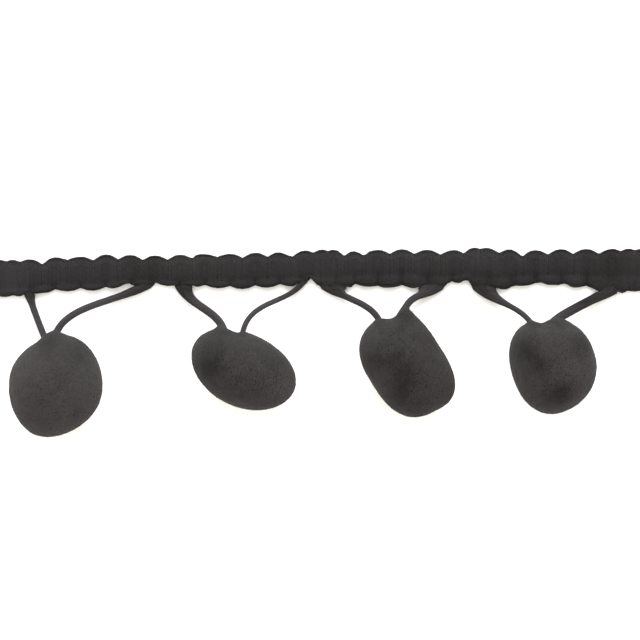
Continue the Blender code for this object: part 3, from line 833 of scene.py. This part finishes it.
def floor_finish(name, base):
    """A plain pale floor with a faintly uneven matt surface."""
    finish = Finish(name)
    place = finish.place()
    cloudy = finish.noise(place, scale=6.0)
    finish.set_shader({
        "Base Color": finish.blend(cloudy, colour(base, 0.995), colour(base)),
        "Roughness": 0.9 + cloudy * 0.08,
        "Specular IOR Level": 0.1,
    })
    return finish.material


# The user's sizes and colours


class TrimSizes(bpy.types.PropertyGroup):
    """The sizes of the trim's yarns."""

    ply_width: bpy.props.FloatProperty(
        name="Ply width", description="Width of one ply of the braid's weft", default=0.00037, unit="LENGTH"
    )
    heading_thickness: bpy.props.FloatProperty(
        name="Heading thickness",
        description="From the floor to the crown of the puffs",
        default=HEADING_BOX[1][2] - HEADING_BOX[0][2],
        unit="LENGTH",
    )
    hanger_plies: bpy.props.IntProperty(
        name="Hanger plies", description="Plies round the outside of a hanger", default=20
    )
    yarn_ends: bpy.props.IntProperty(
        name="Yarn ends", description="Cut ends of yarn in one ball", default=620
    )
    fibres: bpy.props.IntProperty(
        name="Fibres", description="Fibre locks drawn in one ball", default=21600
    )
    fibre_width: bpy.props.FloatProperty(
        name="Fibre width", description="Width of a lock of pile fibres", default=0.00047, unit="LENGTH"
    )
    pile_depth: bpy.props.FloatProperty(
        name="Pile depth",
        description="Share of the ball in which the fibres stand free",
        default=0.05,
        subtype="FACTOR",
    )


class TrimColours(bpy.types.PropertyGroup):
    """The colours of the trim and of its surroundings."""

    braid: bpy.props.FloatVectorProperty(
        name="Braid",
        description="Colour of the braid's yarn",
        default=(0.0148, 0.0141, 0.0139),
        subtype="COLOR",
    )
    hanger: bpy.props.FloatVectorProperty(
        name="Hangers",
        description="Colour of the hangers' yarn",
        default=(0.0252, 0.0241, 0.0239),
        subtype="COLOR",
    )
    pile: bpy.props.FloatVectorProperty(
        name="Pile", description="Colour of the balls' pile", default=(0.036, 0.0335, 0.0335), subtype="COLOR"
    )
    floor: bpy.props.FloatVectorProperty(
        name="Floor", description="Colour of the floor", default=(0.92, 0.92, 0.92), subtype="COLOR"
    )
    daylight: bpy.props.FloatProperty(
        name="Daylight", description="Strength of the even light from all round", default=1.75
    )


# The pieces


def turn_shape(power, wide, high, steps):
    """One arc of a turn, evenly stepped: X from -1 to 1 and Y from 0 through 1 to 0."""
    angle = np.linspace(-math.pi / 2.0, math.pi / 2.0, ARC_SAMPLES)
    x = np.sign(np.sin(angle)) * np.abs(np.sin(angle)) ** (2.0 / power)
    y = np.abs(np.cos(angle)) ** (2.0 / power)
    reach = np.concatenate(((0.0,), np.cumsum(np.hypot(np.diff(x) * wide, np.diff(y) * high))))
    even = np.linspace(0.0, reach[-1], steps + 1)
    return np.interp(even, reach, x), np.interp(even, reach, y)


def one_turn(arc, leg_steps, arc_steps):
    """A whole turn of a ply, up one pass, round the arc and down the other: how far to the side it is, how
    far up the pass, and how far round the arc."""
    x, y = turn_shape(TURN_POWER, 1.0, arc * ARC_TALLNESS, arc_steps)
    leg = np.linspace(0.0, 1.0, leg_steps + 1)[:-1]
    side = np.concatenate((np.full(leg_steps, -1.0), x, np.full(leg_steps, 1.0)))
    rise = np.concatenate((leg, np.ones(len(x)), leg[::-1]))
    curve = np.concatenate((np.zeros(leg_steps), y, np.zeros(leg_steps)))
    return side, rise, curve


# which is 1 for the upper row and 0 for the lower one, as in HeadingForm's rows.
WeftRow = namedtuple("WeftRow", "which puffs sides arc turn out level")


def weft_rows(plies, leg_steps, arc_steps):
    """How these plies turn in the upper row and in the lower row."""
    place = np.array([ply.place for ply in plies])[:, None]
    upper_level = np.array([ply.upper_level for ply in plies])[:, None]
    lower_level = np.array([ply.lower_level for ply in plies])[:, None]
    sides = np.concatenate(([PUFFS[0] - FULL_PUFF], LOWER_PUFFS, [PUFFS[-1] + FULL_PUFF]))
    upper_turn = one_turn(UPPER_ARC, leg_steps, arc_steps)
    lower_turn = one_turn(LOWER_ARC, 1, arc_steps)
    return (
        WeftRow(1, PUFFS, sides, UPPER_ARC, upper_turn, place, upper_level),
        WeftRow(0, LOWER_PUFFS, PUFFS, LOWER_ARC, lower_turn, 1.0 - place, lower_level),
    )


def weft_paths(plies, thickness, radius, chance, leg_steps, arc_steps):
    """The paths of plies that run back and forth across the heading, round a turn at each edge."""
    parts = []
    rows = weft_rows(plies, leg_steps, arc_steps)
    for i in range(len(PUFFS)):
        for row in rows[: 1 + (i < len(LOWER_PUFFS))]:
            side, rise, curve = row.turn
            at, low, high = row.puffs[i], row.sides[i], row.sides[i + 1]
            out = np.clip(row.out + PLY_WANDER * chance.uniform(-1.0, 1.0, row.out.shape), *PLY_REACH)
            x = at + side * out * np.where(side < 0.0, at - low, high - at)
            v = rise * (1.0 - row.arc) + curve * row.arc * out
            form = heading_form(x, thickness)
            edge = form.top - radius if row.which else form.bottom + radius
            y = form.groove + (edge - form.groove) * v
            stacked = (row.level > 0.0) & (row.level < 1.0)
            across = np.where(stacked, np.maximum(1.0 - v, STACK_PLACE), 1.0 - v)
            surface = row_height(across, form.rows[row.which], form.groove_height)
            z = radius + np.maximum(surface - 2.0 * radius, 0.0) * row.level
            parts.append(np.stack((x, y, z), -1)[:, 1 if parts else 0 :])
    paths = np.concatenate(parts, axis=1)
    limit = HALF_LENGTH - radius - CUT_UNEVENNESS * chance.uniform(0.0, 1.0, (len(plies), 1))
    paths[..., 0] = np.clip(paths[..., 0], -limit, limit)
    return paths


def make_weft(name, plies, sizes, finish, sides, steps, chance, node=None):
    """A piece of weft plies."""
    thickness = sizes.heading_thickness / MM
    radius = sizes.ply_width / MM / 2.0
    paths = weft_paths(plies, thickness, radius, chance, *steps)
    along = arc_lengths(paths)
    radii = radius * (1.0 + PLY_UNEVENNESS * slow_wave(chance, len(plies), along, PLY_RUN))
    tone = BRAID_TONE + BRAID_TONE_WAVE * slow_wave(chance, len(plies), along, BRAID_TONE_RUN)
    tone = tone + PLY_TONE * chance.uniform(-1.0, 1.0, (len(plies), 1))
    form = heading_form(paths[..., 0], thickness)
    # Painted shade between the puffs of the lower row, fading out past the groove and stronger towards the
    # right.
    inside = np.clip((paths[..., 1] - form.bottom) / (form.groove - form.bottom), 0.0, 2.0)
    gap = (1.0 - form.rows[0].lift) * np.clip(2.0 - inside, 0.0, 1.0)
    growth = np.clip(GAP_SHADE_MIDDLE + paths[..., 0] / GAP_SHADE_RUN, *GAP_SHADE_LIMITS)
    tone = tone - GAP_SHADE * gap * growth
    # Patches of painted light and painted shade.
    for patch in PAINTED_LIGHT_PATCHES:
        away = np.hypot(paths[..., 0] - patch.x, paths[..., 1] - patch.y) / patch.half_width
        tone = tone + patch.lighter * np.exp(-(away**2))
    rings = tube_rings(paths, radii, sides, UP)
    return strands_piece(name, rings, tone, along, WEFT_MAP_RUN, finish, node)


def make_braid_core(sizes, finish):
    """The inner plies of the braid, packed into one form that fills it up to just under the outer ones."""
    thickness = sizes.heading_thickness / MM
    end = HALF_LENGTH - CUT_UNEVENNESS
    x = np.linspace(-end, end, CORE_STATIONS)
    form = heading_form(x, thickness)
    edges = (form.bottom + CORE_INSET, form.top - CORE_INSET)
    ring = []
    for which, row in enumerate(form.rows):
        side = []
        for across, level in (CORE_FOOT, *((place, None) for place in CORE_ACROSS)):
            y = edges[which] + (form.groove - edges[which]) * across
            surface = row_height(np.full(len(x), across), row, form.groove_height) - CORE_INSET
            z = np.full(len(x), level) if level else surface
            side.append(np.stack((x, y, z), -1))
        ring += side if which == 0 else side[::-1]
        if which == 0:
            ring.append(np.stack((x, form.groove, np.full(len(x), form.groove_height - CORE_INSET)), -1))
    rings = np.stack(ring[::-1], 1)[None]
    tone = np.full((1, len(x)), CORE_TONE)
    return strands_piece("braid_core", rings, tone, x[None], CORE_MAP_RUN, finish, None)


def row_cover(hanger, thickness, from_root, depth):
    """Points over the lower row for plies this far along X from the root's middle and this deep under the
    row's surface, from the groove out to the root."""
    back = np.linspace(1.0, 0.0, COVER_STEPS + 1)[:-1]
    ahead = hanger_route(hanger, COVER_AHEAD) - hanger_route(hanger, 0.0)
    form = heading_form(np.array(hanger.root_x), thickness)
    run = form.groove - hanger.root_y
    lean = np.clip(ahead[0] / ahead[1] * run, -COVER_LEAN, COVER_LEAN)
    x = hanger.root_x + from_root[:, None] + lean * back
    form = heading_form(x, thickness)
    y = hanger.root_y + (form.groove - hanger.root_y) * back
    z = row_height(back, form.rows[0], form.groove_height) + COVER_RISE - COVER_SINK * back - depth[:, None]
    return np.stack((x, y, z), -1), back


def make_hanger(hanger, sizes, finish, chance):
    """One leg of the loop that carries a ball: plies that fan out of the lower row and draw together."""
    count = sizes.hanger_plies
    thickness = sizes.heading_thickness / MM
    share = np.concatenate((np.linspace(0.0, 1.0, ROUTE_POINTS), np.linspace(1.0, 2.0, END_POINTS)[1:]))
    on_route = np.minimum(share, 1.0)
    middle = hanger_route(hanger, on_route)
    ahead = unit(hanger_route(hanger, on_route + ROUTE_STEP) - hanger_route(hanger, on_route - ROUTE_STEP))
    into_ball = unit(ball_middle(BALLS[hanger.ball]) - middle[-1])
    inside = np.maximum(share - 1.0, 0.0)[:, None]
    middle = middle + (ahead[-1] * (1.0 - inside) * inside + into_ball * inside**2) * END_LENGTH
    ahead = unit(ahead * (1.0 - inside) + into_ball * inside)
    across = unit(np.stack((-ahead[:, 1], ahead[:, 0], np.zeros(len(ahead))), -1))
    flip = np.where(across[:, :1] > 0.0, 1.0, -1.0) * np.array((1.0, 0.0, 0.0))
    flare = np.clip(1.0 - on_route / hanger.flare, 0.0, 1.0)
    across = unit(across * (1.0 - flare[:, None]) + flip * flare[:, None])
    over = unit(np.cross(ahead, across))
    over = over * np.where(over[:, 2:] < 0.0, -1.0, 1.0)
    half_wide = hanger_width(hanger, on_route) / 2.0 * (1.0 - END_TAPER * inside[:, 0])
    half_thick = np.minimum(HANGER_THICKNESS / 2.0, half_wide)
    length = arc_lengths(middle[None])[0]
    twist = TWIST * np.maximum(length / length[-1] - hanger.flare, 0.0) * chance.choice((-1.0, 1.0))
    angle = 2.0 * math.pi * (np.arange(count)[:, None] + PLY_START) / count + twist
    radius = np.clip(0.5 * math.pi * (half_wide + half_thick) / count * PLY_OVERLAP, *PLY_RADII)
    flat = 2.0 / math.pi * np.arcsin(np.cos(angle))
    u = (np.cos(angle) * (1.0 - flare) + flat * flare) * (half_wide - radius * WIDE_INSET)
    w = np.sin(angle) * (half_thick - radius * THICK_INSET)
    inner_u = np.linspace(-INNER_SPREAD, INNER_SPREAD, INNER_PLIES)[:, None] * (half_wide - radius)
    u = np.concatenate((u, inner_u))
    w = np.concatenate((w, np.zeros(inner_u.shape)))
    paths = middle + across * u[..., None] + over * w[..., None]
    cover, back = row_cover(hanger, thickness, u[:, 0] * across[0, 0], w[:, 0].max() - w[:, 0] + radius[0])
    settle = np.clip(back / COVER_SETTLE, 0.0, 1.0)
    cover[..., 2] = cover[..., 2] * settle + paths[:, :1, 2] * (1.0 - settle)
    paths = np.concatenate((cover, paths), axis=1)
    along = arc_lengths(paths)
    radii = np.concatenate((np.full(len(back), radius[0]), radius))
    radii = radii * (1.0 + YARN_UNEVENNESS * slow_wave(chance, len(paths), along, YARN_RUN))
    paths[..., 2] = np.maximum(paths[..., 2], radii)
    # Painted shade at the root, where the plies come out from under the heading.
    tones = np.interp(np.concatenate((-back, on_route)), TONE_PLACES, LOOKS[hanger.name][2:])
    tone = tones + YARN_TONE * chance.uniform(-1.0, 1.0, (len(paths), 1))
    tone = tone + TONE_WAVE * slow_wave(chance, len(paths), along, TONE_RUN)
    rings = tube_rings(paths, radii, YARN_SIDES, UP)
    name = f"{hanger.name}_yarn"
    return strands_piece(name, rings, tone, along, YARN_MAP_RUN, finish, hanger.name)


def even_ways(count, disorder, chance):
    """Unit vectors spread evenly over a sphere, a little disordered."""
    i = np.arange(count) + 0.5
    z = 1.0 - 2.0 * i / count
    azimuth = math.pi * (1.0 + math.sqrt(5.0)) * i
    flat = np.sqrt(1.0 - z * z)
    ways = np.stack((np.cos(azimuth) * flat, np.sin(azimuth) * flat, z), -1)
    return unit(ways + chance.normal(0.0, disorder / math.sqrt(count), ways.shape))


def pile_tips(ball, way):
    """Where pile that grows along these ways ends, and how much painted shade it has there, before its own
    unevenness.
    """
    reach = ball_reach(ball, way)
    tips = on_ball(ball, way, reach)
    shade = np.zeros(len(way))
    on_top = np.clip((tips[:, 2] - ball_middle(ball)[2]) / TOP_HEIGHT, 0.0, 1.0)
    for parting in PARTINGS:
        if BALLS[parting.ball] is ball:
            away = np.hypot(tips[:, 0] - parting.x, tips[:, 1] - parting.y) / parting.half_width
            here = np.exp(-(away**2)) * on_top
            reach = reach - parting.depth * here
            shade = shade + parting.shade * here
    return reach, np.minimum(shade, MOST_SHADE)


def drawn_up(ball, tips):
    """The tips of a ball's fibres, drawn up its hangers where they go in."""
    for hanger in HANGERS:
        if BALLS[hanger.ball] is ball:
            look = LOOKS[hanger.name]
            way = level_way(hanger.azimuth)
            rim = ball_middle(ball) + way * ball_reach(ball, turned(way, -ball.turn))
            up = unit((hanger_route(hanger, PEAK_FROM) - hanger_route(hanger, 1.0)) * (1.0, 1.0, 0.0))
            away = tips - rim
            near = away / (look.peak_reach, look.peak_reach, PEAK_TALL)
            drawn = np.exp(-(near**2).sum(axis=-1))[:, None]
            aside = away - (away @ up)[:, None] * up
            tips = tips + (up * look.peak_height - aside * PEAK_CLOSING) * drawn
    return tips


def make_pile(ball, sizes, finish, chance):
    """The pile of a ball: cut fibres, a little bunched where they come from the same yarn end."""
    yarn_ends = even_ways(sizes.yarn_ends, DISORDER, chance)
    root_way = even_ways(sizes.fibres, DISORDER, chance)
    end = np.argmax(root_way @ yarn_ends.T, axis=1)
    lean = (yarn_ends[end] - root_way) * BUNCHING
    tip_way = unit(root_way + lean + chance.normal(0.0, FIBRE_LEAN, root_way.shape))
    reach, shade = pile_tips(ball, tip_way)
    end_length = chance.normal(0.0, END_LENGTHS, len(yarn_ends))
    uneven = chance.normal(0.0, FIBRE_LENGTHS, len(reach)) + end_length[end]
    reach = above_floor(ball, tip_way, reach + np.clip(uneven, *LENGTH_LIMITS), FLOOR_GAP)
    root_reach = ball_reach(ball, root_way) * (1.0 - sizes.pile_depth * ROOT_DEPTH)
    roots = on_ball(ball, root_way, above_floor(ball, root_way, root_reach, ROOT_FLOOR_GAP))
    tips = drawn_up(ball, on_ball(ball, tip_way, reach))
    paths = np.stack((roots, tips), 1)
    radii = sizes.fibre_width / MM / 2.0 * np.array((ROOT_WIDTH, 1.0))
    radii = radii * (1.0 + FIBRE_UNEVENNESS * chance.uniform(-1.0, 1.0, (len(paths), 1)))
    radii[:, -1] = np.minimum(radii[:, -1], np.maximum(tips[:, 2], FLOOR_GAP))
    end_tone = chance.normal(0.0, END_TONES, len(yarn_ends))
    tone = PILE_TONES[BALLS.index(ball)] + FIBRE_TONES * chance.normal(size=len(paths)) + end_tone[end]
    # Painted shade where the pile parts, painted light where a parting's shade is below 0, and painted shade
    # at the roots.
    tone = tone - PARTING_DARKENING * shade
    tone = np.stack((tone - ROOT_PAINTED_SHADE, tone), 1)
    rings = tube_rings(paths, radii, FIBRE_SIDES, unit(chance.normal(size=(len(paths), 1, 3))))
    rings[..., 2] = np.maximum(rings[..., 2], 0.0)
    name, along, outward = f"{ball.name}_pile", arc_lengths(paths), turned(tip_way, ball.turn)
    return strands_piece(name, rings, tone, along, PILE_MAP_RUN, finish, ball.name, outward)


def make_pile_core(ball, sizes, finish):
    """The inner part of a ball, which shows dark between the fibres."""
    shape = bmesh.new()
    bmesh.ops.create_icosphere(shape, subdivisions=PILE_CORE_DIVISIONS, radius=1.0)
    way = np.array([vert.co[:] for vert in shape.verts])
    reach, shade = pile_tips(ball, unit(way))
    reach = above_floor(ball, way, reach * (1.0 - sizes.pile_depth), PILE_CORE_FLOOR_GAP)
    for vert, point in zip(shape.verts, placed(on_ball(ball, way, reach))):
        vert.co = point
    name = f"{ball.name}_core"
    mesh = bpy.data.meshes.new(name)
    shape.to_mesh(mesh)
    shape.free()
    # Painted shade where the pile parts, painted light where a parting's shade is below 0.
    set_tone(mesh, PILE_CORE_TONE - PILE_CORE_DARKENING * shade)
    mesh.shade_smooth()
    return add_piece(name, mesh, finish, None)


# Operators


class TRIM_OT_heading(bpy.types.Operator):
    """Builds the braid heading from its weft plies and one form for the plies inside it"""

    bl_idname = "trim.heading"
    bl_label = "Braid heading"

    def execute(self, context):
        sizes, colours = context.scene.trim_sizes, context.scene.trim_colours
        chance = np.random.default_rng(BRAID_SEED)
        spin = {"darkest": 0.5, "twist_pitch": 1.3, "twist_depth": 0.03}
        inner = tuple(c * CORE_LIGHTNESS for c in colours.braid)
        yarn = yarn_finish("braid_yarn", tuple(colours.braid), contrast=0.5, sheen=0.08, **spin)
        core = yarn_finish("braid_core_yarn", inner, contrast=0.3, sheen=0.0, **spin)
        make_weft("braid_weft", FACE_PLIES, sizes, yarn, FACE_SIDES, FACE_STEPS, chance, "heading")
        make_weft("braid_weft_back", BACK_PLIES, sizes, yarn, BACK_SIDES, BACK_STEPS, chance)
        make_braid_core(sizes, core)
        return {"FINISHED"}


class TRIM_OT_hangers(bpy.types.Operator):
    """Builds the eight yarn legs that carry the balls"""

    bl_idname = "trim.hangers"
    bl_label = "Hangers"

    def execute(self, context):
        sizes, colours = context.scene.trim_sizes, context.scene.trim_colours
        chance = np.random.default_rng(HANGER_SEED)
        spin = {"darkest": 0.4, "twist_pitch": 1.6, "twist_depth": 0.04}
        yarn = yarn_finish("hanger_yarn", tuple(colours.hanger), contrast=0.9, sheen=0.08, **spin)
        for hanger in HANGERS:
            make_hanger(hanger, sizes, yarn, chance)
        return {"FINISHED"}


class TRIM_OT_balls(bpy.types.Operator):
    """Builds the four balls of cut pile"""

    bl_idname = "trim.balls"
    bl_label = "Yarn balls"

    def execute(self, context):
        sizes, colours = context.scene.trim_sizes, context.scene.trim_colours
        pile = pile_finish("ball_pile", tuple(colours.pile))
        for ball in BALLS:
            chance = np.random.default_rng(ball.seed)
            make_pile(ball, sizes, pile, chance)
            make_pile_core(ball, sizes, pile)
        return {"FINISHED"}


class TRIM_OT_stage(bpy.types.Operator):
    """Adds the floor, the light and the camera"""

    bl_idname = "trim.stage"
    bl_label = "Floor, light and camera"

    def execute(self, context):
        scene = context.scene
        colours = scene.trim_colours
        mesh = bpy.data.meshes.new("floor")
        shape = bmesh.new()
        bmesh.ops.create_grid(shape, x_segments=FLOOR_SQUARES, y_segments=FLOOR_SQUARES, size=FLOOR_HALF)
        shape.to_mesh(mesh)
        shape.free()
        floor = bpy.data.objects.new("floor", mesh)
        mesh.materials.append(floor_finish("pale_floor", tuple(colours.floor)))
        scene.collection.objects.link(floor)

        world = bpy.data.worlds.new("daylight")
        world.use_nodes = True
        background = world.node_tree.nodes["Background"]
        background.inputs["Color"].default_value = DAYLIGHT_COLOUR
        background.inputs["Strength"].default_value = colours.daylight
        scene.world = world
        lamp = bpy.data.lights.new("window", "AREA")
        lamp.shape = "DISK"
        lamp.size = WINDOW_SIZE
        lamp.energy = WINDOW_POWER
        lamp.color = WINDOW_COLOUR
        window = bpy.data.objects.new("window", lamp)
        window.location = (0.0, WINDOW_BACK, WINDOW_HEIGHT)
        window.rotation_euler = (-math.atan2(WINDOW_BACK, WINDOW_HEIGHT), 0.0, 0.0)
        window.visible_camera = False
        scene.collection.objects.link(window)

        lens = bpy.data.cameras.new("camera")
        lens.lens = LENS
        lens.sensor_width = SENSOR_WIDTH
        lens.clip_start = NEAREST
        camera = bpy.data.objects.new("camera", lens)
        camera.location = (0.0, -MIDDLE_Y * MM, CAMERA_HEIGHT)
        scene.collection.objects.link(camera)
        scene.camera = camera
        scene.view_settings.view_transform = "Standard"
        return {"FINISHED"}


class TRIM_PT_panel(bpy.types.Panel):
    """The trim's sizes, colours and pieces"""

    bl_idname = "TRIM_PT_panel"
    bl_label = "Pom pom trim"
    bl_space_type = "VIEW_3D"
    bl_region_type = "UI"
    bl_category = "Trim"

    def draw(self, context):
        for group in (context.scene.trim_sizes, context.scene.trim_colours):
            for key in group.__annotations__:
                self.layout.prop(group, key)
        for operator in OPERATORS:
            self.layout.operator(operator.bl_idname)


OPERATORS = (TRIM_OT_heading, TRIM_OT_hangers, TRIM_OT_balls, TRIM_OT_stage)
CLASSES = (TrimSizes, TrimColours, *OPERATORS, TRIM_PT_panel)


def register():
    """Makes the classes known and hangs the sizes and colours on the scene."""
    for known in CLASSES:
        bpy.utils.register_class(known)
    bpy.types.Scene.trim_sizes = bpy.props.PointerProperty(type=TrimSizes)
    bpy.types.Scene.trim_colours = bpy.props.PointerProperty(type=TrimColours)


def unregister():
    """Takes away what register added."""
    del bpy.types.Scene.trim_colours
    del bpy.types.Scene.trim_sizes
    for known in reversed(CLASSES):
        bpy.utils.unregister_class(known)


def main():
    """Builds the whole scene."""
    register()
    bpy.ops.trim.heading()
    bpy.ops.trim.hangers()
    bpy.ops.trim.balls()
    bpy.ops.trim.stage()


if __name__ == "__main__":
    main()
